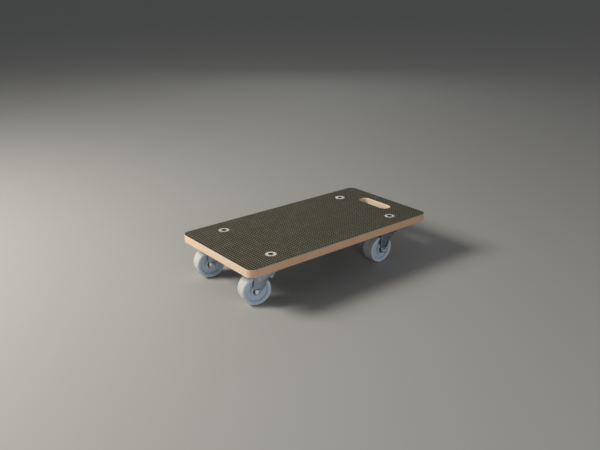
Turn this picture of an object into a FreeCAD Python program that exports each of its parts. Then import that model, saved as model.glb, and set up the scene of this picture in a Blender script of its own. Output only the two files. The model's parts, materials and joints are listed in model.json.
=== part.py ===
import FreeCAD, Part
import math
import os
import Sketcher

# A small platform dolly: a plywood deck with a hand slot, on four single-bolt swivel casters.
# +X points to the end with the hand slot ("front"), +Y to the left, +Z up. The origin is on the
# floor, under the middle of the deck. Millimetres throughout.

doc = FreeCAD.newDocument("PlatformDolly")

# ---------------------------------------------------------------------------- driving dimensions

sheet = doc.addObject("Spreadsheet::Sheet", "Sizes")

SIZES = [
    # deck
    ("deck_length", 600, "deck along X"),
    ("deck_width", 300, "deck along Y"),
    ("deck_top", 119, "floor to the top of the anti-slip film"),
    ("deck_bottom", 98, "floor to the underside of the deck, which is the casters' height"),
    ("top_film_thickness", 0.7, "anti-slip film"),
    ("bottom_film_thickness", 0.4, "smooth film underneath"),
    ("corner_radius", 20, "deck corners, seen from above"),
    ("edge_ease", 0.6, "sanded arris of the board, and the films' setback"),
    ("slot_middle", 247, "middle of the hand slot along X"),
    ("slot_length", 104, "hand slot across the deck, at its narrowest"),
    ("slot_width", 30, "hand slot along the deck, at its narrowest"),
    ("slot_round", 3, "rounding of the hand slot's edges"),
    # bolts through the deck
    ("caster_x", 204, "swivel axis from the middle, along X"),
    ("caster_y", 100, "swivel axis from the middle, along Y"),
    ("bolt_radius", 6, "M12 shank"),
    ("bolt_length", 60, "whole bolt, head included"),
    ("bolt_hole_radius", 6.5, "clearance hole in the deck"),
    ("head_radius", 13.5, "countersunk head"),
    ("head_drop", 0.3, "head's flat face below the deck top"),
    ("head_land", 0.8, "straight rim of the head"),
    ("socket_flats", 10, "hexagon socket across flats"),
    ("socket_depth", 5, "hexagon socket"),
    ("washer_radius", 12, "plain washer under the swivel head"),
    ("washer_thickness", 2.5, "plain washer"),
    ("nut_flats", 19, "M12 lock nut across flats"),
    ("nut_height", 12, "M12 lock nut"),
    ("nut_collar_height", 3, "round collar of the lock nut, which holds its insert"),
    ("nut_collar_radius", 8.9, "round collar of the lock nut"),
    ("bolt_end_chamfer", 1, "chamfer at the end of every thread"),
    ("thread_gap", 0.02, "nut bore over its bolt"),
    # swivel head
    ("cap_radius", 24, "head cap"),
    ("cap_thickness", 2.2, "head cap's plate"),
    ("cap_wall", 1.8, "head cap's skirt"),
    ("cap_gap", 0.6, "skirt above the fork's crown"),
    ("sleeve_radius", 8, "kingpin sleeve outside"),
    ("sleeve_flange_radius", 11.5, "kingpin sleeve's rolled foot"),
    ("sleeve_foot", 79, "underside of the rolled foot above the floor"),
    ("sleeve_foot_thickness", 2, "rolled foot"),
    ("kingpin_gap", 0.4, "crown's hole round the kingpin sleeve"),
    ("upper_ball_radius", 2.5, "upper ball"),
    ("upper_ball_circle", 15.5, "radius of the upper balls' circle"),
    ("upper_ball_count", 16, "upper balls"),
    ("lower_ball_radius", 2, "lower ball"),
    ("lower_ball_circle", 11.8, "radius of the lower balls' circle"),
    ("lower_ball_count", 14, "lower balls"),
    ("ball_sink", 0.5, "how far a ball sits in its race"),
    ("ball_gap", 0.05, "race radius over ball radius"),
    ("lower_race_radius", 16, "lower race outside"),
    ("lower_race_lip", 1.2, "lower race's outer lip"),
    # fork
    ("crown_top", 89.5, "top of the fork above the floor"),
    ("sheet_steel", 2.5, "fork's steel"),
    ("fork_half_width", 24, "outside of a leg from the middle of the caster"),
    ("fork_rear", 53.5, "rear edge of the fork, from the swivel axis"),
    ("crown_bend", 4, "outside radius of the bend between crown and legs"),
    ("skirt_foot", 83, "lower edge of the crown's front skirt"),
    ("skirt_turn_x", -12, "where that edge starts down towards the shoulder"),
    ("shoulder_x", 6, "where the skirt turns down into the leg"),
    ("shoulder_z", 76, "height of that turn"),
    ("waist_x", 18, "leading edge of the leg, upper end"),
    ("waist_z", 67, "height of that point"),
    ("knee_x", 27, "leading edge of the leg, lower end"),
    ("knee_z", 47, "height of that point"),
    ("heel_z", 56, "rear edge of the leg, where it starts to draw in"),
    ("boss_radius", 8, "half width of the leg at the axle"),
    ("boss_round", 7.9, "rounding of the leg's lower end"),
    ("boss_front_rise", 1, "straight front edge of the leg's end above the axle"),
    ("boss_rear_rise", 3, "straight rear edge of the leg's end above the axle"),
    ("edge_round", 6, "rounding of the leg's outline"),
    ("cut_margin", 10, "how far a cutting outline runs past the fork"),
    # wheel
    ("trail", 44, "axle behind the swivel axis"),
    ("wheel_radius", 37.5, "wheel"),
    ("wheel_half_width", 18, "half of the tread's width"),
    ("tread_shoulder", 4.5, "rounding of the tread's shoulders"),
    ("tyre_bore", 31, "inside of the tyre"),
    ("tyre_lip", 1, "bevel from the tyre's bore to its side"),
    ("rim_half_width", 16, "wheel core at the rim"),
    ("rim_inner", 27.5, "inside of the rim"),
    ("web_half_width", 10.5, "wheel core between rim and hub"),
    ("web_blend", 1.6, "rounding where web meets rim and hub"),
    ("hub_radius", 16, "hub's outer ring"),
    ("hub_half_length", 19, "hub's outer ring from the middle"),
    ("recess_radius", 10.8, "recess in the hub's end"),
    ("recess_floor", 15, "floor of that recess from the middle"),
    ("bush_radius", 7.5, "bush outside, pressed in the hub"),
    ("bush_inner_end", 3, "inner end of a bush from the middle"),
    ("bush_flange_radius", 10, "bush's flange"),
    ("bush_flange_thickness", 1.2, "bush's flange"),
    ("bush_gap", 0.05, "running gap between bush and axle sleeve"),
    ("axle_sleeve_radius", 6, "axle sleeve outside"),
    ("axle_radius", 4, "M8 axle bolt"),
    ("axle_hole_gap", 0.1, "holes round the axle bolt"),
    ("collar_radius", 9, "spacer collar outside"),
    ("collar_gap", 0.3, "spacer collar clear of the bush's flange"),
    ("collar_bore_gap", 0.15, "spacer collar over the axle sleeve"),
    ("axle_flats", 13, "M8 head and nut across flats"),
    ("axle_head_height", 5.3, "axle bolt's head above its flange"),
    ("axle_nut_height", 6.5, "axle nut above its flange"),
    ("axle_flange_radius", 8, "flange under head and nut"),
    ("axle_flange_thickness", 1.6, "flange under head and nut"),
    ("axle_tail", 1.5, "thread standing out of the axle nut"),
    # which way each caster trails at rest, in degrees from +X towards +Y
    ("front_left_yaw", 172, "front left caster"),
    ("front_right_yaw", 179, "front right caster"),
    ("rear_left_yaw", 167, "rear left caster"),
    ("rear_right_yaw", 166, "rear right caster"),
]

# Heights and lengths that follow from the cells above.
WORKED_OUT = [
    ("board_top", "=deck_top - top_film_thickness", "top of the bare board"),
    ("board_bottom", "=deck_bottom + bottom_film_thickness", "underside of the bare board"),
    ("head_top", "=deck_top - head_drop", "flat face of the countersunk heads"),
    ("crown_underside", "=crown_top - sheet_steel", "underside of the fork's crown"),
    ("upper_ball_height", "=crown_top + upper_ball_radius - ball_sink", "upper balls' centres"),
    ("lower_ball_height", "=crown_underside - lower_ball_radius + ball_sink", "lower balls' centres"),
    ("cap_race", "=upper_ball_height + upper_ball_radius - ball_sink", "cap's race face"),
    ("cap_underside", "=deck_bottom - cap_thickness", "underside of the cap's plate"),
    ("lower_race_face", "=lower_ball_height - lower_ball_radius + ball_sink", "lower race's face"),
    ("race_foot", "=sleeve_foot + sleeve_foot_thickness", "underside of the lower race"),
    ("nut_top", "=sleeve_foot - washer_thickness", "top of the lock nut"),
    ("leg_inside", "=fork_half_width - sheet_steel", "inside of a leg from the middle"),
]


def fill_sheet():
    """Write every named size into the spreadsheet: name, value, meaning."""
    for row, (name, value, meaning) in enumerate(SIZES + WORKED_OUT, start=1):
        sheet.set(f"A{row}", name)
        sheet.set(f"B{row}", str(value))
        sheet.set(f"C{row}", meaning)
        sheet.setAlias(f"B{row}", name)
        doc.recompute()


def size(formula):
    """The value of a formula written with the sheet's names."""
    return float(sheet.evalExpression(linked(formula)))


def linked(formula):
    """Put the sheet's name before each of its aliases, as an expression needs it."""
    names = {name for name, _, _ in SIZES + WORKED_OUT}
    words = []
    word = ""
    for letter in str(formula) + " ":
        if letter.isalnum() or letter == "_":
            word += letter
            continue
        words.append("Sizes." + word if word in names else word)
        words.append(letter)
        word = ""
    return "".join(words).strip()


def bind(thing, prop, formula):
    """Tie a property to the sheet."""
    thing.setExpression(prop, linked(formula))


fill_sheet()

# ---------------------------------------------------------------------------- sketching helpers

# How a constraint names a line's or arc's ends and centre, the sketch's origin and its two axes.
START, END, CENTRE = 1, 2, 3
ORIGIN = (-1, 1)
X_AXIS, Y_AXIS = -1, -2

SAME_PLACE = 1e-6  # mm, or a share: closer than this is the same
NO_CHANGE = 1e-3  # mm3: a feature that changes less did nothing


def new_body(label):
    """An empty body. It may hold several solids, for the pieces that come as a set."""
    body = doc.addObject("PartDesign::Body", label)
    body.Label = label
    body.AllowCompound = True
    return body


def origin_feature(body, role):
    """One of the body's own base planes or axes, such as XY_Plane or Z_Axis."""
    return next(item for item in body.Origin.OriginFeatures if item.Role == role)


def new_sketch(body, plane, name, lift=None):
    """A sketch on one of the body's base planes, lifted along that plane's normal."""
    sketch = body.newObject("Sketcher::SketchObject", f"{body.Name}_{name}")
    sketch.AttachmentSupport = [(origin_feature(body, plane), "")]
    sketch.MapMode = "FlatFace"
    if lift is not None:
        bind(sketch, "AttachmentOffset.Base.z", lift)
    return sketch


def fix_point(sketch, geometry, end, across, up):
    """Hold a point at formulas for its two sketch coordinates."""
    for kind, axis, formula in (("DistanceX", Y_AXIS, across), ("DistanceY", X_AXIS, up)):
        value = size(formula)
        if abs(value) < SAME_PLACE:
            sketch.addConstraint(Sketcher.Constraint("PointOnObject", geometry, end, axis))
            continue
        held = sketch.addConstraint(Sketcher.Constraint(kind, *ORIGIN, geometry, end, value))
        bind(sketch, f"Constraints[{held}]", formula)


def fix_radius(sketch, geometry, formula):
    held = sketch.addConstraint(Sketcher.Constraint("Radius", geometry, size(formula)))
    bind(sketch, f"Constraints[{held}]", formula)


def point(across, up):
    return FreeCAD.Vector(size(across), size(up), 0)


def polygon(sketch, corners):
    """A closed outline of straight lines through corners given as pairs of formulas."""
    count = len(corners)
    first = sketch.GeometryCount
    for index in range(count):
        here = corners[index]
        following = corners[(index + 1) % count]
        sketch.addGeometry(Part.LineSegment(point(*here), point(*following)), False)
    for index in range(count):
        before = first + (index - 1) % count
        sketch.addConstraint(Sketcher.Constraint("Coincident", before, END, first + index, START))
        fix_point(sketch, first + index, START, *corners[index])


def circle(sketch, across, up, radius):
    index = sketch.addGeometry(
        Part.Circle(point(across, up), FreeCAD.Vector(0, 0, 1), size(radius)), False
    )
    fix_point(sketch, index, CENTRE, across, up)
    fix_radius(sketch, index, radius)


def hexagon(flats):
    """Corners of a hexagon about the origin, for a size across flats."""
    corner = f"({flats}) / 2 / cos(30)"
    return [(f"{corner} * cos({60 * k})", f"{corner} * sin({60 * k})") for k in range(6)]


def capsule(sketch, middle, length, width):
    """A slot with round ends that runs along the sketch's second axis."""
    half = f"({width}) / 2"
    reach = f"({length} - ({width})) / 2"
    cx, r, y = size(middle), size(half), size(reach)
    normal = FreeCAD.Vector(0, 0, 1)
    upper = Part.Circle(FreeCAD.Vector(cx, y, 0), normal, r)
    lower = Part.Circle(FreeCAD.Vector(cx, -y, 0), normal, r)
    sketch.addGeometry(Part.ArcOfCircle(upper, 0, math.pi), False)
    left = Part.LineSegment(FreeCAD.Vector(cx - r, y, 0), FreeCAD.Vector(cx - r, -y, 0))
    sketch.addGeometry(left, False)
    sketch.addGeometry(Part.ArcOfCircle(lower, math.pi, 2 * math.pi), False)
    right = Part.LineSegment(FreeCAD.Vector(cx + r, -y, 0), FreeCAD.Vector(cx + r, y, 0))
    sketch.addGeometry(right, False)
    for index in range(4):
        after = (index + 1) % 4
        sketch.addConstraint(Sketcher.Constraint("Tangent", index, END, after, START))
    sketch.addConstraint(Sketcher.Constraint("Equal", 0, 2))
    fix_point(sketch, 0, CENTRE, middle, reach)
    fix_point(sketch, 2, CENTRE, middle, f"-({reach})")
    fix_radius(sketch, 0, half)


def horseshoe(sketch, radius, rear):
    """Seen from above: a half circle at the front, straight sides back to the rear edge."""
    r, back = size(radius), size(rear)
    normal = FreeCAD.Vector(0, 0, 1)
    front = Part.Circle(FreeCAD.Vector(0, 0, 0), normal, r)
    sketch.addGeometry(Part.ArcOfCircle(front, math.pi / 2, 3 * math.pi / 2), False)
    corners = [(0, -r), (back, -r), (back, r), (0, r)]
    for here, following in zip(corners, corners[1:]):
        line = Part.LineSegment(FreeCAD.Vector(*here, 0), FreeCAD.Vector(*following, 0))
        sketch.addGeometry(line, False)
    sketch.addConstraint(Sketcher.Constraint("Coincident", 0, CENTRE, *ORIGIN))
    fix_radius(sketch, 0, radius)
    sketch.addConstraint(Sketcher.Constraint("Tangent", 0, END, 1, START))
    sketch.addConstraint(Sketcher.Constraint("Coincident", 1, END, 2, START))
    sketch.addConstraint(Sketcher.Constraint("Coincident", 2, END, 3, START))
    sketch.addConstraint(Sketcher.Constraint("Tangent", 3, END, 0, START))
    sketch.addConstraint(Sketcher.Constraint("Horizontal", 1))
    sketch.addConstraint(Sketcher.Constraint("Horizontal", 3))
    sketch.addConstraint(Sketcher.Constraint("Vertical", 2))
    held = sketch.addConstraint(Sketcher.Constraint("DistanceX", *ORIGIN, 1, END, back))
    bind(sketch, f"Constraints[{held}]", rear)


# ---------------------------------------------------------------------------- feature helpers


def healthy(thing):
    """Stop at once if an object failed or has no sound shape."""
    if "Invalid" in thing.State or "Error" in thing.State:
        raise RuntimeError(f"{thing.Label} failed: {thing.State}")
    if thing.Shape.isNull() or not thing.Shape.isValid():
        raise RuntimeError(f"{thing.Label} has no sound shape")
    return thing


def finished(body, feature, removes=None):
    """Recompute, make the feature the body's tip and see that it did what it should."""
    before = 0.0 if body.Shape.isNull() else body.Shape.Volume
    body.Tip = feature
    doc.recompute()
    healthy(feature)
    change = body.Shape.Volume - before
    if removes is True and change > -NO_CHANGE:
        raise RuntimeError(f"{feature.Label} cut nothing")
    if removes is False and change < NO_CHANGE:
        raise RuntimeError(f"{feature.Label} added nothing")
    return feature


def pad(body, sketch, length, downwards=False, both_ways=False):
    feature = body.newObject("PartDesign::Pad", f"{sketch.Name}_pad")
    feature.Profile = sketch
    feature.Reversed = downwards
    feature.SideType = "Symmetric" if both_ways else "One side"
    bind(feature, "Length", length)
    return finished(body, feature, removes=False)


def pocket(body, sketch, depth, upwards=False, both_ways=False):
    """Cut against the sketch's normal, or along it, or half each way."""
    feature = body.newObject("PartDesign::Pocket", f"{sketch.Name}_pocket")
    feature.Profile = sketch
    feature.Reversed = upwards
    feature.SideType = "Symmetric" if both_ways else "One side"
    bind(feature, "Length", depth)
    return finished(body, feature, removes=True)


def turn(body, sketch, kind="PartDesign::Revolution"):
    """Turn a profile all the way round the body's Z axis."""
    feature = body.newObject(kind, f"{sketch.Name}_turned")
    feature.Profile = sketch
    feature.ReferenceAxis = (sketch, ["V_Axis"])
    feature.Angle = 360
    return finished(body, feature, removes=kind == "PartDesign::Groove")


def edges_where(feature, test):
    """Names of the feature's edges that pass a test of (edge, middle point)."""
    names = []
    for index, edge in enumerate(feature.Shape.Edges, start=1):
        middle = edge.valueAt((edge.FirstParameter + edge.LastParameter) / 2)
        if test(edge, middle):
            names.append(f"Edge{index}")
    if not names:
        raise RuntimeError(f"no edge of {feature.Label} was found")
    return names


def fillet(body, feature, test, radius):
    rounding = body.newObject("PartDesign::Fillet", f"{feature.Name}_round")
    rounding.Base = (feature, edges_where(feature, test))
    bind(rounding, "Radius", radius)
    return finished(body, rounding)


def mirrored(body, features, plane):
    """A second copy of the features on the other side of a base plane."""
    copy = body.newObject("PartDesign::Mirrored", f"{body.Name}_mirror")
    copy.Originals = features
    copy.MirrorPlane = (origin_feature(body, plane), [""])
    return finished(body, copy, removes=False)


def turned_body(label, corners):
    """A piece made on a lathe: corners are (radius, height) formulas about the Z axis."""
    body = new_body(label)
    profile = new_sketch(body, "XZ_Plane", "profile")
    polygon(profile, corners)
    turn(body, profile)
    return body


def is_along(edge, direction):
    """True for a straight edge along a direction."""
    if not isinstance(edge.Curve, Part.Line):
        return False
    return abs(abs(edge.Curve.Direction.dot(direction)) - 1) < SAME_PLACE


UP = FreeCAD.Vector(0, 0, 1)
ACROSS = FreeCAD.Vector(0, 1, 0)

# ---------------------------------------------------------------------------- casters' places

# name: sign along X, sign along Y
CASTERS = {
    "front_left": (1, 1),
    "front_right": (1, -1),
    "rear_left": (-1, 1),
    "rear_right": (-1, -1),
}


def stand_at_swivel(piece, corner, turned_with_fork):
    """Put a piece on a caster's swivel axis, turned as its fork is turned at rest."""
    sign_x, sign_y = CASTERS[corner]
    angle = size(f"{corner}_yaw") if turned_with_fork else 0
    piece.Placement = FreeCAD.Placement(FreeCAD.Vector(), FreeCAD.Rotation(UP, angle))
    bind(piece, "Placement.Base.x", f"{sign_x} * caster_x")
    bind(piece, "Placement.Base.y", f"{sign_y} * caster_y")


def stand_at_axle(piece, corner):
    """Put a piece that was made along Z on a caster's axle, its Z along the axle."""
    sign_x, sign_y = CASTERS[corner]
    yaw = f"{corner}_yaw"
    lying = FreeCAD.Rotation(FreeCAD.Vector(1, 0, 0), -90)
    heading = FreeCAD.Rotation(UP, size(yaw))
    piece.Placement = FreeCAD.Placement(FreeCAD.Vector(), heading.multiply(lying))
    bind(piece, "Placement.Base.x", f"{sign_x} * caster_x + trail * cos({yaw})")
    bind(piece, "Placement.Base.y", f"{sign_y} * caster_y + trail * sin({yaw})")
    bind(piece, "Placement.Base.z", "wheel_radius")


# ---------------------------------------------------------------------------- deck


def sheet_of_deck(label, foot, thickness, setback, slot_margin, hole_radius, arris=None):
    """One layer of the deck: a rounded rectangle with the hand slot and four holes."""
    body = new_body(label)
    outline = new_sketch(body, "XY_Plane", "outline", foot)
    half_length = f"(deck_length / 2 - {setback})"
    half_width = f"(deck_width / 2 - {setback})"
    polygon(
        outline,
        [
            (half_length, half_width),
            (f"-{half_length}", half_width),
            (f"-{half_length}", f"-{half_width}"),
            (half_length, f"-{half_width}"),
        ],
    )
    slab = pad(body, outline, thickness)
    rounded = fillet(body, slab, lambda edge, _: is_along(edge, UP), f"corner_radius - {setback}")
    if arris is not None:
        fillet(body, rounded, lambda edge, _: not is_along(edge, UP), arris)
    opening = new_sketch(body, "XY_Plane", "slot", foot)
    margin = f"2 * ({slot_margin})"
    capsule(opening, "slot_middle", f"slot_length + {margin}", f"slot_width + {margin}")
    pocket(body, opening, thickness, upwards=True)
    holes = new_sketch(body, "XY_Plane", "holes", foot)
    for sign_x, sign_y in CASTERS.values():
        circle(holes, f"{sign_x} * caster_x", f"{sign_y} * caster_y", hole_radius)
    pocket(body, holes, thickness, upwards=True)
    return body


# Radius of the countersink where it leaves a given height, as the 45 degree cone opens upwards.
def countersink_at(height):
    return f"(head_radius + {height} - (head_top - head_land))"


def deck_board():
    body = sheet_of_deck(
        "deck_board", "board_bottom", "board_top - board_bottom", "0", "0", "bolt_hole_radius",
        arris="edge_ease",
    )
    top, bottom = size("board_top"), size("board_bottom")
    slot_x = size("slot_middle")
    slot_reach = (size("slot_length") + size("slot_width")) / 2

    def slot_rim(edge, middle):
        on_face = min(abs(middle.z - top), abs(middle.z - bottom)) < SAME_PLACE
        near = math.hypot(middle.x - slot_x, middle.y) < slot_reach
        return on_face and near

    fillet(body, body.Tip, slot_rim, "slot_round")
    for corner, (sign_x, sign_y) in CASTERS.items():
        cone = body.newObject("PartDesign::SubtractiveCone", f"countersink_{corner}")
        cone.AttachmentSupport = [(origin_feature(body, "XY_Plane"), "")]
        cone.MapMode = "FlatFace"
        bind(cone, "Radius1", "bolt_hole_radius")
        bind(cone, "Radius2", countersink_at("board_top"))
        bind(cone, "Height", f"{countersink_at('board_top')} - bolt_hole_radius")
        bind(cone, "AttachmentOffset.Base.x", f"{sign_x} * caster_x")
        bind(cone, "AttachmentOffset.Base.y", f"{sign_y} * caster_y")
        height = f"board_top - ({countersink_at('board_top')} - bolt_hole_radius)"
        bind(cone, "AttachmentOffset.Base.z", height)
        finished(body, cone, removes=True)
    return body


def top_film():
    return sheet_of_deck(
        "top_film", "board_top", "top_film_thickness", "edge_ease", "slot_round",
        countersink_at("deck_top"),
    )


def bottom_film():
    return sheet_of_deck(
        "bottom_film", "deck_bottom", "bottom_film_thickness", "edge_ease", "slot_round",
        "bolt_hole_radius",
    )


# ---------------------------------------------------------------------------- fasteners


def socket_bolt(label):
    """A countersunk bolt with a hexagon socket, at its height in the deck."""
    cone_top = "head_top - head_land"
    body = turned_body(
        label,
        [
            ("0", "head_top - bolt_length"),
            ("bolt_radius - bolt_end_chamfer", "head_top - bolt_length"),
            ("bolt_radius", "head_top - bolt_length + bolt_end_chamfer"),
            ("bolt_radius", f"{cone_top} - (head_radius - bolt_radius)"),
            ("head_radius", cone_top),
            ("head_radius", "head_top"),
            ("0", "head_top"),
        ],
    )
    recess = new_sketch(body, "XY_Plane", "socket", "head_top")
    polygon(recess, hexagon("socket_flats"))
    pocket(body, recess, "socket_depth")
    return body


def plain_washer(label):
    foot = "sleeve_foot - washer_thickness"
    return turned_body(
        label,
        [
            ("bolt_hole_radius", foot),
            ("washer_radius", foot),
            ("washer_radius", "sleeve_foot"),
            ("bolt_hole_radius", "sleeve_foot"),
        ],
    )


def lock_nut(label):
    """A hexagon nut with a round collar at its lower end."""
    body = new_body(label)
    flats = new_sketch(body, "XY_Plane", "flats", "nut_top")
    polygon(flats, hexagon("nut_flats"))
    pad(body, flats, "nut_height - nut_collar_height", downwards=True)
    collar = new_sketch(body, "XY_Plane", "collar", "nut_top - nut_height")
    circle(collar, "0", "0", "nut_collar_radius")
    pad(body, collar, "nut_collar_height")
    bore = new_sketch(body, "XY_Plane", "bore", "nut_top")
    circle(bore, "0", "0", "bolt_radius + thread_gap")
    pocket(body, bore, "nut_height")
    return body


def one_at_each_caster(label, make):
    """A node that holds the same fastener at all four casters, as separate solids."""
    pieces = []
    for corner in CASTERS:
        piece = make(f"{label}_{corner}")
        stand_at_swivel(piece, corner, turned_with_fork=False)
        pieces.append(piece)
    group = doc.addObject("Part::Compound", label)
    group.Label = label
    group.Links = pieces
    return group


# ---------------------------------------------------------------------------- swivel head


def race_groove(body, circle_radius, height, ball_radius, name):
    """Cut a ball groove round the Z axis."""
    section = new_sketch(body, "XZ_Plane", name)
    circle(section, circle_radius, height, f"{ball_radius} + ball_gap")
    turn(body, section, "PartDesign::Groove")


def head_cap(label):
    """The upper cup: a plate under the deck, a skirt and a thicker ring with the upper race."""
    skirt_inside = "cap_radius - cap_wall"
    ring_inside = "upper_ball_circle - upper_ball_radius"
    body = turned_body(
        label,
        [
            ("bolt_hole_radius", "cap_underside"),
            (ring_inside, "cap_underside"),
            (ring_inside, "cap_race"),
            (skirt_inside, "cap_race"),
            (skirt_inside, "crown_top + cap_gap"),
            ("cap_radius", "crown_top + cap_gap"),
            ("cap_radius", "deck_bottom"),
            ("bolt_hole_radius", "deck_bottom"),
        ],
    )
    race_groove(body, "upper_ball_circle", "upper_ball_height", "upper_ball_radius", "race")
    return body


def kingpin_sleeve(label):
    """The tube round the bolt, with a rolled foot that holds the lower race up."""
    return turned_body(
        label,
        [
            ("bolt_hole_radius", "sleeve_foot"),
            ("sleeve_flange_radius", "sleeve_foot"),
            ("sleeve_flange_radius", "race_foot"),
            ("sleeve_radius", "race_foot"),
            ("sleeve_radius", "cap_underside"),
            ("bolt_hole_radius", "cap_underside"),
        ],
    )


def lower_race(label):
    lip_top = "crown_underside - cap_gap"
    lip_inside = "lower_race_radius - lower_race_lip"
    body = turned_body(
        label,
        [
            ("sleeve_radius", "race_foot"),
            ("lower_race_radius", "race_foot"),
            ("lower_race_radius", lip_top),
            (lip_inside, lip_top),
            (lip_inside, "lower_race_face"),
            ("sleeve_radius", "lower_race_face"),
        ],
    )
    race_groove(body, "lower_ball_circle", "lower_ball_height", "lower_ball_radius", "race")
    return body


def ball_ring(label, row):
    """A ring of balls; row is "upper" or "lower"."""
    body = new_body(label)
    ball = body.newObject("PartDesign::AdditiveSphere", f"{label}_ball")
    ball.AttachmentSupport = [(origin_feature(body, "XY_Plane"), "")]
    ball.MapMode = "FlatFace"
    bind(ball, "Radius", f"{row}_ball_radius")
    bind(ball, "AttachmentOffset.Base.x", f"{row}_ball_circle")
    bind(ball, "AttachmentOffset.Base.z", f"{row}_ball_height")
    finished(body, ball, removes=False)
    ring = body.newObject("PartDesign::PolarPattern", f"{label}_ring")
    ring.Originals = [ball]
    ring.Axis = (origin_feature(body, "Z_Axis"), [""])
    ring.Angle = 360
    bind(ring, "Occurrences", f"{row}_ball_count")
    finished(body, ring, removes=False)
    return body


# ---------------------------------------------------------------------------- fork


def fork(label):
    """A pressed fork: round-fronted crown, two legs that lean back to the axle."""
    body = new_body(label)
    outside = new_sketch(body, "XY_Plane", "outside")
    horseshoe(outside, "fork_half_width", "fork_rear")
    blank = pad(body, outside, "crown_top")
    top, before_rear = size("crown_top"), size("fork_rear - crown_bend")

    def top_but_rear(edge, middle):
        return abs(middle.z - top) < SAME_PLACE and middle.x < before_rear

    fillet(body, blank, top_but_rear, "crown_bend")
    inside = new_sketch(body, "XY_Plane", "inside")
    horseshoe(inside, "leg_inside", "fork_rear + cut_margin")
    hollow = pocket(body, inside, "crown_underside", upwards=True)
    ceiling = size("crown_underside")

    def inner_bend(edge, middle):
        return abs(middle.z - ceiling) < SAME_PLACE and middle.x < before_rear

    fillet(body, hollow, inner_bend, "crown_bend - sheet_steel")

    front = "-(fork_half_width + cut_margin)"
    back = "fork_rear + cut_margin"
    boss_front = "trail - boss_radius"
    boss_rear = "trail + boss_radius"
    boss_foot = "wheel_radius - boss_radius"
    below = "-cut_margin"
    across = "2 * (fork_half_width + cut_margin)"
    trim = new_sketch(body, "XZ_Plane", "trim")
    polygon(
        trim,
        [
            (front, "skirt_foot"),
            ("skirt_turn_x", "skirt_foot"),
            ("shoulder_x", "shoulder_z"),
            ("waist_x", "waist_z"),
            ("knee_x", "knee_z"),
            (boss_front, "wheel_radius + boss_front_rise"),
            (boss_front, boss_foot),
            (boss_rear, boss_foot),
            (boss_rear, "wheel_radius + boss_rear_rise"),
            ("fork_rear", "heel_z"),
            (back, "heel_z"),
            (back, below),
            (front, below),
        ],
    )
    trimmed = pocket(body, trim, across, both_ways=True)
    foot = size(boss_foot)

    def leg_end(edge, middle):
        return is_along(edge, ACROSS) and abs(middle.z - foot) < SAME_PLACE

    ended = fillet(body, trimmed, leg_end, "boss_round")
    turns = [("shoulder_x", "shoulder_z"), ("waist_x", "waist_z"), ("knee_x", "knee_z")]
    places = [(size(x), size(z)) for x, z in turns]

    def outline_turn(edge, middle):
        return is_along(edge, ACROSS) and any(
            math.hypot(middle.x - x, middle.z - z) < SAME_PLACE for x, z in places
        )

    fillet(body, ended, outline_turn, "edge_round")

    kingpin_hole = new_sketch(body, "XY_Plane", "kingpin_hole", "crown_top")
    circle(kingpin_hole, "0", "0", "sleeve_radius + kingpin_gap")
    pocket(body, kingpin_hole, "sheet_steel")
    axle_hole = new_sketch(body, "XZ_Plane", "axle_hole")
    circle(axle_hole, "trail", "wheel_radius", "axle_radius + axle_hole_gap")
    pocket(body, axle_hole, across, both_ways=True)
    for row in ("upper", "lower"):
        race_groove(body, f"{row}_ball_circle", f"{row}_ball_height", f"{row}_ball_radius", row)
    return body


# ---------------------------------------------------------------------------- axle and wheel
# These are made along Z, with the middle of the wheel at the origin.


def axle_bolt(label):
    """Flanged hexagon bolt through both legs, its head at the negative end."""
    seat = "-fork_half_width"
    end = "fork_half_width + axle_flange_thickness + axle_nut_height + axle_tail"
    flange_foot = f"{seat} - axle_flange_thickness"
    body = turned_body(
        label,
        [
            ("0", flange_foot),
            ("axle_flange_radius", flange_foot),
            ("axle_flange_radius", seat),
            ("axle_radius", seat),
            ("axle_radius", f"{end} - bolt_end_chamfer"),
            ("axle_radius - bolt_end_chamfer", end),
            ("0", end),
        ],
    )
    head = new_sketch(body, "XY_Plane", "head", flange_foot)
    polygon(head, hexagon("axle_flats"))
    pad(body, head, "axle_head_height", downwards=True)
    return body


def axle_nut(label):
    """Flanged hexagon nut on the positive end of the axle bolt."""
    body = new_body(label)
    flange = new_sketch(body, "XY_Plane", "flange", "fork_half_width")
    circle(flange, "0", "0", "axle_flange_radius")
    pad(body, flange, "axle_flange_thickness")
    seat = "fork_half_width + axle_flange_thickness"
    flats = new_sketch(body, "XY_Plane", "flats", seat)
    polygon(flats, hexagon("axle_flats"))
    pad(body, flats, "axle_nut_height")
    bore = new_sketch(body, "XY_Plane", "bore", "fork_half_width")
    circle(bore, "0", "0", "axle_radius + thread_gap")
    pocket(body, bore, "axle_flange_thickness + axle_nut_height", upwards=True)
    return body


def axle_sleeve(label):
    bore = "axle_radius + axle_hole_gap"
    return turned_body(
        label,
        [
            (bore, "-leg_inside"),
            ("axle_sleeve_radius", "-leg_inside"),
            ("axle_sleeve_radius", "leg_inside"),
            (bore, "leg_inside"),
        ],
    )


def spacer_collars(label):
    """Two collars that keep the hub off the legs."""
    bore = "axle_sleeve_radius + collar_bore_gap"
    inner_end = "recess_floor + bush_flange_thickness + collar_gap"
    body = turned_body(
        label,
        [
            (bore, inner_end),
            ("collar_radius", inner_end),
            ("collar_radius", "leg_inside"),
            (bore, "leg_inside"),
        ],
    )
    mirrored(body, [body.Tip], "XY_Plane")
    return body


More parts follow.
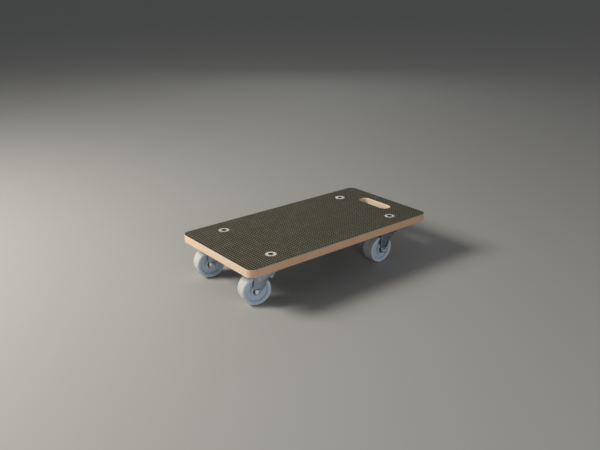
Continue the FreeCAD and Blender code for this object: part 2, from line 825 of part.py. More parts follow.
def hub_bushes(label):
    """Two flanged plain bushes, pressed into the ends of the hub."""
    bore = "axle_sleeve_radius + bush_gap"
    flange_end = "recess_floor + bush_flange_thickness"
    body = turned_body(
        label,
        [
            (bore, "bush_inner_end"),
            ("bush_radius", "bush_inner_end"),
            ("bush_radius", "recess_floor"),
            ("bush_flange_radius", "recess_floor"),
            ("bush_flange_radius", flange_end),
            (bore, flange_end),
        ],
    )
    mirrored(body, [body.Tip], "XY_Plane")
    return body


def wheel_core(label):
    """Hub, web and rim in one moulding, with a recess for the bush in each end of the hub."""
    upper_half = [
        ("tyre_bore", "rim_half_width"),
        ("rim_inner", "rim_half_width"),
        ("rim_inner", "web_half_width"),
        ("hub_radius", "web_half_width"),
        ("hub_radius", "hub_half_length"),
        ("recess_radius", "hub_half_length"),
        ("recess_radius", "recess_floor"),
        ("bush_radius", "recess_floor"),
    ]
    lower_half = [(radius, f"-{height}") for radius, height in reversed(upper_half)]
    body = turned_body(label, upper_half + lower_half)
    web = size("web_half_width")

    def web_corner(edge, middle):
        return abs(abs(middle.z) - web) < SAME_PLACE and isinstance(edge.Curve, Part.Circle)

    fillet(body, body.Tip, web_corner, "web_blend")
    return body


def tyre(label):
    side_inside = "tyre_bore + tyre_lip"
    body = turned_body(
        label,
        [
            ("tyre_bore", "-rim_half_width"),
            (side_inside, "-wheel_half_width"),
            ("wheel_radius", "-wheel_half_width"),
            ("wheel_radius", "wheel_half_width"),
            (side_inside, "wheel_half_width"),
            ("tyre_bore", "rim_half_width"),
        ],
    )
    tread = size("wheel_radius")

    def shoulder(edge, middle):
        round_edge = isinstance(edge.Curve, Part.Circle)
        return round_edge and abs(edge.Curve.Radius - tread) < SAME_PLACE

    fillet(body, body.Tip, shoulder, "tread_shoulder")
    return body


# ---------------------------------------------------------------------------- build

ON_THE_DECK = {
    "head_cap": head_cap,
    "lower_race": lower_race,
    "kingpin_sleeve": kingpin_sleeve,
    "upper_balls": lambda label: ball_ring(label, "upper"),
    "lower_balls": lambda label: ball_ring(label, "lower"),
}
ON_THE_AXLE = {
    "axle_bolt": axle_bolt,
    "axle_nut": axle_nut,
    "axle_sleeve": axle_sleeve,
    "spacer_collars": spacer_collars,
    "wheel_core": wheel_core,
    "tyre": tyre,
    "hub_bushes": hub_bushes,
}


def build():
    """Every node of the dolly, deck first."""
    nodes = [deck_board(), top_film(), bottom_film()]
    nodes.append(one_at_each_caster("caster_bolts", socket_bolt))
    nodes.append(one_at_each_caster("bolt_washers", plain_washer))
    nodes.append(one_at_each_caster("lock_nuts", lock_nut))
    for corner in CASTERS:
        for name, make in ON_THE_DECK.items():
            piece = make(f"{corner}_{name}")
            stand_at_swivel(piece, corner, turned_with_fork=False)
            nodes.append(piece)
        frame = fork(f"{corner}_fork")
        stand_at_swivel(frame, corner, turned_with_fork=True)
        nodes.append(frame)
        for name, make in ON_THE_AXLE.items():
            piece = make(f"{corner}_{name}")
            stand_at_axle(piece, corner)
            nodes.append(piece)
    return nodes


nodes = build()
doc.recompute()
for thing in doc.Objects:
    if "Invalid" in thing.State or "Error" in thing.State:
        raise RuntimeError(f"{thing.Label} failed: {thing.State}")
for node in nodes:
    healthy(node)

os.makedirs("parts", exist_ok=True)
for node in nodes:
    node.Shape.exportStep(f"parts/{node.Label}.step")
    print(f"{node.Label}: {len(node.Shape.Solids)} solid(s), {node.Shape.Volume:.0f} mm3")
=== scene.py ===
# %% [markdown]
# # A platform dolly
#
# The real object is a 600 mm board of film-faced birch plywood on four swivel casters. The CAD frame
# already holds every piece at its true size and place, so this lesson is about looks: how each piece
# was made, what that leaves on its surface, and how mesh code and shader nodes can show it.
#
# The frame comes in first, because every place used below is read from it.

import json
import math

import bmesh
import bpy
from mathutils import Matrix, Vector, noise


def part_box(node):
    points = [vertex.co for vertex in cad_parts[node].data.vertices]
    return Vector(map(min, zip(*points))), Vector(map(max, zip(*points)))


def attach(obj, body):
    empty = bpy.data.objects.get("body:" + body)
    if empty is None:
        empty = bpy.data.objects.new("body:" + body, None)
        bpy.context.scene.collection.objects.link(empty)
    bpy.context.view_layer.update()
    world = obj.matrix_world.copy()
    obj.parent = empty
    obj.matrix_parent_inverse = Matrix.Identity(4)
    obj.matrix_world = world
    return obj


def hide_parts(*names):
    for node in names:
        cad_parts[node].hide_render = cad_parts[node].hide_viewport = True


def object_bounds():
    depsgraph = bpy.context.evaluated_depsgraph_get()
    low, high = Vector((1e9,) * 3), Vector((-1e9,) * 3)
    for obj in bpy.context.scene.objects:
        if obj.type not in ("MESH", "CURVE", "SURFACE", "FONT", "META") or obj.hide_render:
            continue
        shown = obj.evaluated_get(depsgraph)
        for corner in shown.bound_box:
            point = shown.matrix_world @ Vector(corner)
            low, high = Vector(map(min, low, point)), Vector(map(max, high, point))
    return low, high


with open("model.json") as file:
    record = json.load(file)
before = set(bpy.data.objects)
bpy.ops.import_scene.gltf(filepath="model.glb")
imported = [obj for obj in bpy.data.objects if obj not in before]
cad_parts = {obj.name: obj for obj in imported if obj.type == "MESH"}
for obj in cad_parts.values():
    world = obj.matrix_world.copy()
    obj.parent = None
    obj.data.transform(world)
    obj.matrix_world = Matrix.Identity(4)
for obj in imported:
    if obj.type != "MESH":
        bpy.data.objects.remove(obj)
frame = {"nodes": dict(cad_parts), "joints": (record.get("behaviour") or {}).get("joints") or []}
cad_low, cad_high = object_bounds()
print("CAD box in metres:", tuple(cad_low), tuple(cad_high))

# %% [markdown]
# Two kinds of place are used again and again: the four swivel axes, and the four axles. Both are the
# frame's joints. A turned piece is easiest to make round its own Z axis, so each axle gets a matrix
# that lays such a piece down: X along the fork's heading, Y downwards and Z along the axle.

# %% Where things are
MM = 0.001
CORNERS = ("front_left", "front_right", "rear_left", "rear_right")
joints = {joint["name"]: joint for joint in frame["joints"]}
UP = Vector((0, 0, 1))


def swivel_place(corner):
    """The swivel axis, as a matrix that keeps heights above the floor."""
    x, y, _ = joints[f"{corner}_swivel_turn"]["pos_m"]
    return Matrix.Translation((x, y, 0))


def axle_place(corner):
    """The middle of the wheel, with Z along the axle."""
    spin = joints[f"{corner}_wheel_spin"]
    middle, along = Vector(spin["pos_m"]), Vector(spin["axis"]).normalized()
    heading = along.cross(UP).normalized()
    down = along.cross(heading)
    facing = Matrix((heading, down, along)).transposed().to_4x4()
    return Matrix.Translation(middle) @ facing


for corner in CORNERS:
    print(corner, "axle at", [round(value / MM, 1) for value in axle_place(corner).translation])

# %% [markdown]
# ## Camera, floor and light
#
# A product is easiest to judge on a plain pale floor. The camera stands a little above knee height,
# off the corner away from the hand slot, with a near-normal lens that keeps the board's edges from
# splaying. One large soft lamp stands beyond the board's left-hand corner, so the short edge that faces
# it is bright and the long near edge is in shade. A low, wide lamp in front fills that shade without
# lighting the floor much, a weak one at the back draws the far edges, and a faint sky does the rest.

# %% Camera
camera = bpy.data.objects.new("camera", bpy.data.cameras.new("camera"))
bpy.context.scene.collection.objects.link(camera)
camera.location = (-1.0931, -1.2812, 0.7653)
camera.rotation_euler = [math.radians(angle) for angle in (68.79, -0.06, -39.63)]
camera.data.lens = 40.74
camera.data.sensor_width = 36
bpy.context.scene.camera = camera


# %% Light and floor
MIDDLE = (0, 0, 0.08)


def lamp(name, place, size, power, colour):
    """A square soft box that points at the middle of the object."""
    light = bpy.data.lights.new(name, "AREA")
    light.shape = "SQUARE"
    light.size = size
    light.energy = power
    light.color = colour
    box = bpy.data.objects.new(name, light)
    bpy.context.scene.collection.objects.link(box)
    box.location = place
    box.rotation_euler = (Vector(MIDDLE) - Vector(place)).to_track_quat("-Z", "Y").to_euler()


lamp("key_light", (-1.9, 1.15, 1.7), 0.9, 70, (1.0, 0.96, 0.9))
lamp("fill_light", (-0.9, -3.1, 0.55), 1.6, 27, (0.93, 0.955, 1.0))
lamp("back_light", (1.9, 2.3, 1.45), 1.0, 4.5, (0.96, 0.98, 1.0))

world = bpy.data.worlds.new("studio")
world.use_nodes = True
world.node_tree.nodes["Background"].inputs["Color"].default_value = (0.87, 0.90, 0.95, 1)
world.node_tree.nodes["Background"].inputs["Strength"].default_value = 0.13
bpy.context.scene.world = world
bpy.context.scene.view_settings.view_transform = "Standard"

FLOOR_HALF = 40.0
floor_mesh = bpy.data.meshes.new("floor")
floor_corners = [(-1, -1), (1, -1), (1, 1), (-1, 1)]
floor_mesh.from_pydata([(x * FLOOR_HALF, y * FLOOR_HALF, 0) for x, y in floor_corners], [], [(0, 1, 2, 3)])
floor = bpy.data.objects.new("floor", floor_mesh)
bpy.context.scene.collection.objects.link(floor)
paint = bpy.data.materials.new("floor_paint")
paint.use_nodes = True
paint.node_tree.nodes["Principled BSDF"].inputs["Base Color"].default_value = (0.46, 0.455, 0.43, 1)
paint.node_tree.nodes["Principled BSDF"].inputs["Roughness"].default_value = 0.7
floor_mesh.materials.append(paint)
print("camera, three lamps and a floor")

# %% [markdown]
# ## Writing shader maths as Python
#
# A finish is mostly arithmetic: a mask here, a little less roughness there. Wiring that by hand hides
# the sum, so a small class wraps a socket that carries a number and overloads the operators. Then
# `1 - mask` or `0.4 + 0.2 * dust` builds the Math nodes by itself. Colours and vectors don't go
# through Math nodes, because those would turn a colour grey: they go through Mix and Vector Math.


# %% A number that varies over a surface
class Value:
    """A number carried by a socket. Sums on it add Math nodes to its finish."""

    def __init__(self, finish, socket):
        self.finish = finish
        self.socket = socket

    def __add__(self, other):
        return self.finish.maths("ADD", self, other)

    def __sub__(self, other):
        return self.finish.maths("SUBTRACT", self, other)

    def __rsub__(self, other):
        return self.finish.maths("SUBTRACT", other, self)

    def __mul__(self, other):
        return self.finish.maths("MULTIPLY", self, other)

    def __truediv__(self, other):
        return self.finish.maths("DIVIDE", self, other)

    def __pow__(self, other):
        return self.finish.maths("POWER", self, other)

    __radd__ = __add__
    __rmul__ = __mul__

    def between(self, low, high):
        """0 below low, 1 above high, smooth in between."""
        return self.finish.node(
            "ShaderNodeMapRange",
            {"interpolation_type": "SMOOTHSTEP"},
            {"Value": self, "From Min": low, "From Max": high},
        )


# %% One finish under construction
class Finish:
    """A material and the few moves that finishes are made of."""

    def __init__(self, name):
        self.material = bpy.data.materials.new(name)
        self.material.use_nodes = True
        self.tree = self.material.node_tree
        self.shader = self.tree.nodes["Principled BSDF"]
        place = self.node("ShaderNodeTexCoord", output="Object")
        self.place = place
        split = self.node("ShaderNodeSeparateXYZ", inputs={0: place}, output=None)
        self.x, self.y, self.z = [Value(self, split.outputs[axis]) for axis in "XYZ"]

    def node(self, kind, settings=None, inputs=None, output=0):
        """Add any node: its type, its settings first, then values or links for its sockets."""
        made = self.tree.nodes.new(kind)
        for key, setting in (settings or {}).items():
            if key == "stops":
                self.set_stops(made.color_ramp, setting)
            else:
                setattr(made, key, setting)
        for key, given in (inputs or {}).items():
            self.feed(made.inputs[key], given)
        return made if output is None else Value(self, made.outputs[output])

    def set_stops(self, ramp, stops):
        while len(ramp.elements) < len(stops):
            ramp.elements.new(1.0)
        for element, (at, colour) in zip(ramp.elements, stops):
            element.position = at
            element.color = (*colour, 1)

    def feed(self, socket, given):
        """Link a socket if the given thing is a Value, else set its value."""
        if isinstance(given, Value):
            self.tree.links.new(given.socket, socket)
        elif socket.type == "RGBA" and len(given) == 3:
            socket.default_value = (*given, 1)
        else:
            socket.default_value = given

    def maths(self, operation, first, second):
        return self.node("ShaderNodeMath", {"operation": operation}, {0: first, 1: second})

    def home(self):
        """The point's place on the piece itself: X, Y and Z."""
        given = self.node("ShaderNodeAttribute", {"attribute_name": "home"}, output="Vector")
        split = self.node("ShaderNodeSeparateXYZ", inputs={0: given}, output=None)
        return [Value(self, split.outputs[axis]) for axis in "XYZ"]

    def vector(self, x, y, z):
        return self.node("ShaderNodeCombineXYZ", inputs={0: x, 1: y, 2: z})

    def mix(self, mask, under, over, blend="MIX"):
        """A colour: under where the mask is 0, over where it is 1."""
        settings = {"data_type": "RGBA", "clamp_factor": True, "blend_type": blend}
        return self.node("ShaderNodeMix", settings, {0: mask, 6: under, 7: over}, output=2)

    def scaled(self, across):
        """The place on the object, scaled on each axis."""
        return self.node(
            "ShaderNodeVectorMath", {"operation": "MULTIPLY"}, {0: self.place, 1: across}
        )

    def noise(self, grain, detail=3.0, rough=0.55, vector=None):
        """Cloudy noise whose features are about one grain across, in metres."""
        return self.node(
            "ShaderNodeTexNoise",
            inputs={
                "Vector": vector or self.place,
                "Scale": 1 / grain,
                "Detail": detail,
                "Roughness": rough,
            },
        )

    def streaks(self, sizes, detail=3.0, rough=0.6):
        """Noise drawn out to a different size along each axis, in metres."""
        vector = self.scaled(tuple(1 / size for size in sizes))
        return self.noise(1.0, detail, rough, vector)

    def bump(self, height, depth, strength=1.0):
        """Small relief: height from 0 to 1 stands for depth in metres."""
        normal = self.node(
            "ShaderNodeBump", inputs={"Strength": strength, "Distance": depth, "Height": height}
        )
        self.set(Normal=normal)

    def set(self, **sockets):
        """Feed the shader: set(Base_Color=..., Roughness=...)."""
        for name, given in sockets.items():
            self.feed(self.shader.inputs[name.replace("_", " ")], given)


def colour(red, green, blue):
    """A colour as it is named on screen, 0 to 255, turned into light."""

    def light(part):
        part = part / 255
        return part / 12.92 if part <= 0.04045 else ((part + 0.055) / 1.055) ** 2.4

    return (light(red), light(green), light(blue))


print("shader tools ready")

# %% [markdown]
# ## Making turned and hexagonal pieces
#
# Wheels, bushes, bolts and nuts are all stacks of rings round an axis. A lathe profile gives circles.
# A nut gives rings that follow a hexagon but never pass a circle, which is just how the chamfer on a
# real nut is cut. So one function skins a stack of rings, and small ones draw the rings.
#
# Each point also remembers its place on the piece itself, before the piece is set in the frame. A
# finish can then ask how far a point is from the axle, whichever way the caster is turned.

# %% A mesh in the making
FULL_TURN = 2 * math.pi
STAY = Matrix.Identity(4)


class Form:
    """A mesh whose points remember where they are on the piece."""

    def __init__(self):
        self.mesh = bmesh.new()
        self.home = self.mesh.verts.layers.float_vector.new("home")

    def point(self, at, place=STAY):
        vert = self.mesh.verts.new(place @ Vector(at))
        vert[self.home] = at
        return vert

    def band(self, lower, upper):
        """Quads between two rings of points."""
        for k in range(len(lower)):
            after = (k + 1) % len(lower)
            self.mesh.faces.new((lower[k], lower[after], upper[after], upper[k]))

    def skin(self, rings, place=STAY, ends="capped"):
        """Quads over a stack of rings. Its ends are "capped", "joined" to each other, or "open"."""
        rows = [[self.point(at, place) for at in ring] for ring in rings]
        for lower, upper in zip(rows, rows[1:]):
            self.band(lower, upper)
        if ends == "joined":
            self.band(rows[-1], rows[0])
        if ends == "capped":
            self.mesh.faces.new(rows[0])
            self.mesh.faces.new(rows[-1])
        return rows


# %% Rings
ROUND = 96
FEW = 48


def circle_ring(radius, height, steps=FEW):
    turns = [FULL_TURN * k / steps for k in range(steps)]
    return [Vector((radius * math.cos(a), radius * math.sin(a), height)) for a in turns]


def hex_ring(flats, limit, height):
    """A hexagon with its corners cut back to a circle of radius limit."""
    sixth = math.pi / 3
    ring = []
    for k in range(FEW):
        angle = FULL_TURN * k / FEW
        side = flats / 2 / math.cos(angle % sixth - sixth / 2)
        reach = min(side, limit)
        ring.append(Vector((reach * math.cos(angle), reach * math.sin(angle), height)))
    return ring


def rounded(corners):
    """Profile points from (radius, height, rounding) corners in millimetres."""
    points = []
    count = len(corners)
    for index, (r, h, bend) in enumerate(corners):
        here = Vector((r, h))
        if bend == 0:
            points.append(here * MM)
            continue
        back = (Vector(corners[index - 1][:2]) - here).normalized()
        ahead = (Vector(corners[(index + 1) % count][:2]) - here).normalized()
        half = back.angle(ahead) / 2
        centre = here + (back + ahead).normalized() * bend / math.sin(half)
        start = here + back * bend / math.tan(half) - centre
        end = here + ahead * bend / math.tan(half) - centre
        sweep = start.angle(end)
        steps = 4 if bend < 1 else 8
        for step in range(steps + 1):
            share = step / steps
            arm = start * math.sin((1 - share) * sweep) + end * math.sin(share * sweep)
            points.append((centre + arm / math.sin(sweep)) * MM)
    return points


def turn(form, corners, place=STAY, steps=ROUND):
    """Add a closed ring of material from a profile that doesn't touch the axis."""
    rings = [circle_ring(r, h, steps) for r, h in rounded(corners)]
    form.skin(rings, place, "joined")


# %% [markdown]
# Every new piece goes through the same last steps: clean normals, smooth shading that stays crisp
# where two faces meet at a real angle, a finish, the body it moves with, and the CAD nodes it stands
# for.

# %% Finishing a piece
CRISP = math.radians(38)
made = []


def piece(name, mesh, finish, body, stands_for=(), crisp=CRISP):
    """Turn a mesh into an object of the scene, on its body, in place of the CAD nodes it stands for."""
    bmesh.ops.recalc_face_normals(mesh, faces=mesh.faces)
    data = bpy.data.meshes.new(name)
    mesh.to_mesh(data)
    mesh.free()
    data.materials.append(finish.material)
    data.shade_smooth()
    data.set_sharp_from_angle(angle=crisp)
    thing = bpy.data.objects.new(name, data)
    bpy.context.scene.collection.objects.link(thing)
    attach(thing, body)
    if stands_for:
        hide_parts(*stands_for)
    made.append((name, len(data.polygons)))


print("mesh tools ready")

# %% [markdown]
# ## Plywood finish
#
# The board is birch plywood, 15 thin plies glued with the grain turned a quarter at each one. On an
# edge that shows as bands: pale bands where the grain runs along the edge, browner ones where it comes
# out end-on and drinks the light. The bands depend on height, so they are worked out from Z, with a
# little wander so that no line looks ruled. Bands along the grain get long fibre streaks, and end-grain
# bands get fine pores. Both long sides are painted a deeper amber, a painted shade, and handling leaves
# grey smudges everywhere.

# %% Plywood
board_low, board_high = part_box("deck_board")
PLIES = 15
ply = (board_high.z - board_low.z) / PLIES
SIDE_START = board_high.y - 16 * MM
SIDE_END = board_high.y - 1 * MM


def plywood():
    wood = Finish("birch_plywood")
    wander = wood.noise(0.04, 2.0) - 0.5
    level = (wood.z - board_low.z) / ply + 0.16 * wander
    end_grain = wood.maths("PINGPONG", level - 0.5, 1.0).between(0.42, 0.58)
    glue = wood.maths("PINGPONG", level, 0.5).between(0.12, 0.0)
    fibres = wood.streaks((0.03, 0.03, 0.0005), 5.0, 0.7)
    pores = wood.noise(0.0006, 2.0, 0.8)
    patches = wood.noise(0.07, 3.0)
    along = wood.mix(fibres.between(0.35, 0.7), colour(246, 226, 204), colour(232, 205, 178))
    endwise = wood.mix(pores.between(0.35, 0.65), colour(230, 202, 174), colour(210, 176, 146))
    bands = wood.mix(end_grain * 0.8, along, endwise)
    lined = wood.mix(glue * 0.4, bands, colour(160, 122, 92))
    aged = wood.mix(patches.between(0.5, 0.75) * 0.3, lined, colour(210, 176, 146))
    # Both long sides are painted a darker, warmer amber: a painted shade of the long edge.
    shaded_long_sides = wood.maths("ABSOLUTE", wood.y, 0.0).between(SIDE_START, SIDE_END)
    painted_shade_amber = wood.mix(shaded_long_sides * 0.9, aged, (0.92, 0.73, 0.59), "MULTIPLY")
    handled = wood.noise(0.014, 4.0, 0.7).between(0.56, 0.8)
    wood.set(Base_Color=wood.mix(handled * 0.28, painted_shade_amber, colour(164, 138, 112)))
    wood.set(Roughness=0.52 + 0.14 * end_grain + 0.08 * handled)
    wood.bump(fibres * 0.5 + pores * end_grain * 0.5, 0.00015, 0.6)
    return wood


birch = plywood()
print(f"{PLIES} plies, {ply / MM:.2f} mm each")

# %% [markdown]
# ## The board
#
# The board was sawn, its corners and hand slot routed, and every edge sanded. The CAD solid has the
# right size but a perfectly flat edge. Real end grain sands away a little faster than long grain, the
# glue lines open up, and the corners get knocked. To show that in the shape, the edge is skinned from
# outlines stacked ply by ply, each drawn in by a few hundredths of a millimetre, with shallow knocks
# near the faces. The ply marks leave out the last millimetre below the rounded top edge.
#
# The outline is a rounded rectangle and the slot a capsule. Both take an inset, so that one formula
# serves the board, its films and the sanded arris.

# %% Sizes of the deck
CORNER = 20 * MM
EASE = 0.6 * MM
SLOT_MIDDLE = 247 * MM
SLOT_LENGTH = 104 * MM
SLOT_WIDTH = 30 * MM
SLOT_ROUND = 3 * MM
HOLE = 6.5 * MM
HEAD = 13.5 * MM
HEAD_LAND = 0.8 * MM
deck_top = cad_high.z
head_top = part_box("caster_bolts")[1].z
film_low, film_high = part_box("top_film")
print("bolt heads sit", round((deck_top - head_top) / MM, 2), "mm below the film")


# %% Outlines seen from above
SPACING = 7 * MM


def arc_points(centre, bend, start, sweep, steps, height):
    points = []
    for step in range(steps + 1):
        angle = start + sweep * step / steps
        reach = Vector((math.cos(angle), math.sin(angle), 0)) * bend
        points.append(Vector((*centre, height)) + reach)
    return points


def with_side_points(corners):
    """Join runs of points, with evenly spaced ones on the straight sides between them."""
    ring = []
    for run, following in zip(corners, corners[1:] + corners[:1]):
        ring.extend(run)
        gap = following[0] - run[-1]
        count = max(1, round(gap.length / SPACING))
        ring.extend(run[-1] + gap * step / count for step in range(1, count))
    return ring


def board_outline(inset, height):
    """The deck's rounded rectangle, drawn in by an inset."""
    bend = CORNER - inset
    across, along = board_high.x - CORNER, board_high.y - CORNER
    quarter = math.pi / 2
    corners = []
    for turn_count, signs in enumerate(((1, 1), (-1, 1), (-1, -1), (1, -1))):
        centre = (signs[0] * across, signs[1] * along)
        corners.append(arc_points(centre, bend, turn_count * quarter, quarter, 14, height))
    return with_side_points(corners)


def slot_outline(margin, height):
    """The hand slot, widened by a margin."""
    bend = SLOT_WIDTH / 2 + margin
    reach = (SLOT_LENGTH - SLOT_WIDTH) / 2
    upper = arc_points((SLOT_MIDDLE, reach), bend, 0, math.pi, 24, height)
    lower = arc_points((SLOT_MIDDLE, -reach), bend, math.pi, math.pi, 24, height)
    return with_side_points([upper, lower])


def hole_outline(corner, radius, height):
    return [swivel_place(corner) @ point for point in circle_ring(radius, height)]


# %% The edge, ply by ply
ARRIS_STEPS = 6
MARKS_END = 19 * MM


def ply_relief():
    """{height: how far the edge is drawn in}: glue lines most, end-grain plies a little."""
    relief = {}
    for index in range(PLIES):
        foot = board_low.z + index * ply
        sanded = 0.04 * MM if index % 2 else 0.0
        for share, cut in ((0.03, 0.09 * MM), (0.17, sanded), (0.83, sanded), (0.97, 0.09 * MM)):
            relief[foot + share * ply] = cut
    return relief


def arris(height, bend):
    """How far a rounded edge draws back at a height, near either face of the board."""
    from_face = min(height - board_low.z, board_high.z - height)
    if from_face >= bend:
        return 0.0
    return bend - math.sqrt(max(0.0, bend**2 - (bend - from_face) ** 2))


def knock(at):
    """A shallow dent, here and there, close to the faces."""
    from_face = min(at.z - board_low.z, board_high.z - at.z)
    if from_face < 0.1 * MM:
        return 0.0
    dent = max(0.0, noise.noise(at / (9 * MM)) - 0.28)
    return 0.5 * MM * dent * math.exp(-from_face / (1.3 * MM))


def edge_stack(outline, bend, inwards):
    """Outlines from the underside to the top, with ply relief, rounded ends and knocks."""
    quarter = math.pi / 2
    arc = [bend * (1 - math.cos(quarter * k / ARRIS_STEPS)) for k in range(ARRIS_STEPS + 1)]
    relief = ply_relief()
    heights = {board_low.z + rise for rise in arc} | {board_high.z - rise for rise in arc}
    heights |= {z for z in relief if bend < z - board_low.z < MARKS_END - bend}
    stack = []
    for z in sorted(heights):
        drawn = arris(z, bend) + relief.get(z, 0.0)
        ring = outline(drawn, z)
        middle = Vector((0, 0, z)) if inwards else Vector((SLOT_MIDDLE, 0, z))
        for point in ring:
            away = (point - middle).normalized() * knock(point)
            point -= away if inwards else -away
        stack.append(ring)
    return stack


def countersink(height):
    """Radius of the countersink at a height."""
    return max(HOLE, HEAD + height - (head_top - HEAD_LAND))


def hole_stack(corner):
    cone_foot = head_top - HEAD_LAND - (HEAD - HOLE)
    return [hole_outline(corner, countersink(z), z) for z in (board_low.z, cone_foot, board_high.z)]


# %% A plate with holes
def plate(stacks):
    """Walls from stacks of outlines, with flat faces filled between them at both ends."""
    form = Form()
    rims = ([], [])
    for stack in stacks:
        rows = form.skin(stack, ends="open")
        for rim, row in zip(rims, (rows[0], rows[-1])):
            for here, after in zip(row, row[1:] + row[:1]):
                rim.append(form.mesh.edges.get((here, after)))
    for rim in rims:
        bmesh.ops.triangle_fill(form.mesh, use_beauty=True, edges=rim)
    return form.mesh


holes = [hole_stack(corner) for corner in CORNERS]
outside = edge_stack(board_outline, EASE, True)
inside = edge_stack(slot_outline, SLOT_ROUND, False)
board = plate([outside, inside, *holes])
piece("plywood_board", board, birch, "deck", ["deck_board"])
print("board:", made[-1])

# %% [markdown]
# ## The anti-slip film
#
# The top is a sheet of dark phenolic film that was hot-pressed under a woven wire mesh. The wires left
# crossing grooves, and the film stands up between them in rows of small pillows. At this scale the
# grip pattern is most of what the eye sees, so it is made as real relief: a grid with lines at each
# wire and on the shoulders of each pillow, pushed down along the grooves. A woven wire runs over its
# neighbours and under them by turns, so each groove widens and narrows a little along its length.
#
# The grid is then trimmed to the film's outline by a boolean, with the slot and the bolt holes cut
# out. Manifold is the fast solver, and needs both meshes closed.

# %% Film relief
PITCH = 7.2 * MM
GROOVE = 0.45 * MM
LINES = (0.0, 0.13, 0.3, 0.7, 0.87)


def film_lines(low, high):
    """Grid lines along one axis: at each wire and on the shoulders of each pillow."""
    first, last = math.floor(low / PITCH) - 1, math.ceil(high / PITCH) + 1
    return [(cell + share) * PITCH for cell in range(first, last) for share in LINES]


def groove(offset):
    """Depth of a wire's groove at an offset from its middle, both as shares."""
    return math.exp(-((offset / 0.2) ** 2))


def film_depth(x, y):
    u, v = x / PITCH, y / PITCH
    over = 1.1 + 0.2 * math.cos(math.pi * u) * math.cos(math.pi * v)
    under = 2.2 - over
    return GROOVE * min(1.0, max(groove(u - round(u)) * over, groove(v - round(v)) * under))


def film_slab():
    """A closed slab, larger than the film, whose top carries the wire marks."""
    xs, ys = film_lines(film_low.x, film_high.x), film_lines(film_low.y, film_high.y)
    form = Form()
    top = [[form.point((x, y, film_high.z - film_depth(x, y))) for y in ys] for x in xs]
    for i in range(len(xs) - 1):
        for j in range(len(ys) - 1):
            form.mesh.faces.new((top[i][j], top[i + 1][j], top[i + 1][j + 1], top[i][j + 1]))
    rim = [row[0] for row in top] + top[-1][1:]
    rim += [row[-1] for row in top[-2::-1]] + top[0][-2:0:-1]
    foot = [form.point((vert.co.x, vert.co.y, film_low.z - 1 * MM)) for vert in rim]
    form.band(rim, foot)
    form.mesh.faces.new(foot)
    return form.mesh


def film_cutter():
    """The film's outline as a prism, taller than the film."""
    levels = (film_low.z, film_high.z + 1 * MM)
    opening = countersink(deck_top)
    stacks = [[hole_outline(corner, opening, z) for z in levels] for corner in CORNERS]
    stacks.append([board_outline(EASE, z) for z in levels])
    stacks.append([slot_outline(SLOT_ROUND, z) for z in levels])
    return plate(stacks)


# %% Trimming
def scratch_object(name, mesh):
    bmesh.ops.recalc_face_normals(mesh, faces=mesh.faces)
    data = bpy.data.meshes.new(name)
    mesh.to_mesh(data)
    mesh.free()
    thing = bpy.data.objects.new(name, data)
    bpy.context.scene.collection.objects.link(thing)
    return thing


def in_common(first, second):
    """What two closed meshes have in common."""
    kept, tool = scratch_object("kept", first), scratch_object("tool", second)
    cut = kept.modifiers.new("cut", "BOOLEAN")
    cut.operation = "INTERSECT"
    cut.solver = "MANIFOLD"
    cut.object = tool
    result = kept.evaluated_get(bpy.context.evaluated_depsgraph_get())
    mesh = bmesh.new()
    mesh.from_mesh(result.data)
    for thing in (kept, tool):
        bpy.data.objects.remove(thing)
    return mesh


# %% [markdown]
# The film itself is brown-black under a grey-olive bloom. Its pillows are painted far paler than the
# grooves: partly rubbed wear, partly a painted highlight on the tops and painted shade in the grooves.
# The pillows are a little glossy, and dust stays in the grooves, more of it towards the hand slot. The
# relief mask comes straight from the height of the surface, so the colour always agrees with the shape.


# %% Anti-slip film finish
DUST_START = -250 * MM
DUST_END = 100 * MM


def anti_slip_film():
    film = Finish("anti_slip_film")
    relief = ((film.z - (film_high.z - GROOVE)) / GROOVE).between(0.1, 0.9)
    clouds = film.noise(0.09, 5.0, 0.6)
    rubbed = film.noise(0.02, 4.0, 0.65).between(0.42, 0.72)
    cell = film.noise(0.009, 2.0, 0.5).between(0.35, 0.65)
    scuffs = film.streaks((0.05, 0.0014, 1.0), 4.0, 0.7).between(0.62, 0.74)
    speck = film.noise(0.0012, 2.0, 0.7)
    # Pillow tops are painted far paler than the grooves: partly rubbed wear, partly painted highlight and
    # painted shade.
    low = film.mix(clouds.between(0.3, 0.7), colour(15, 13, 10), colour(24, 22, 17))
    worn_highlit_tops = film.mix(rubbed * 0.7 + cell * 0.3, colour(120, 117, 95), colour(148, 144, 119))
    filled = film.x.between(DUST_START, DUST_END)
    low = film.mix(filled * 0.5, low, colour(58, 55, 46))
    worn_highlit_tops = film.mix(filled * 0.4, worn_highlit_tops, colour(106, 102, 84))
    pattern = film.mix(relief, low, worn_highlit_tops)
    dusted = film.mix((1 - relief) * clouds.between(0.45, 0.8) * 0.3, pattern, colour(84, 80, 70))
    film.set(Base_Color=film.mix(scuffs * relief * 0.3, dusted, colour(132, 128, 112)))
    film.set(Roughness=0.8 - 0.16 * relief - 0.06 * rubbed + 0.08 * scuffs)
    film.set(Specular_IOR_Level=0.22)
    film.bump(speck, 0.00004, 0.5)
    return film


top_film = in_common(film_slab(), film_cutter())
piece("anti_slip_film", top_film, anti_slip_film(), "deck", ["top_film"])
print("film:", made[-1])

# %% [markdown]
# ## The film underneath
#
# The underside has the same film pressed smooth. Its shape is right as it is in CAD, so the node stays
# and only gets a finish: very dark brown, with the veneer's grain showing through as long faint waves
# in the gloss, and a bloom of dust.


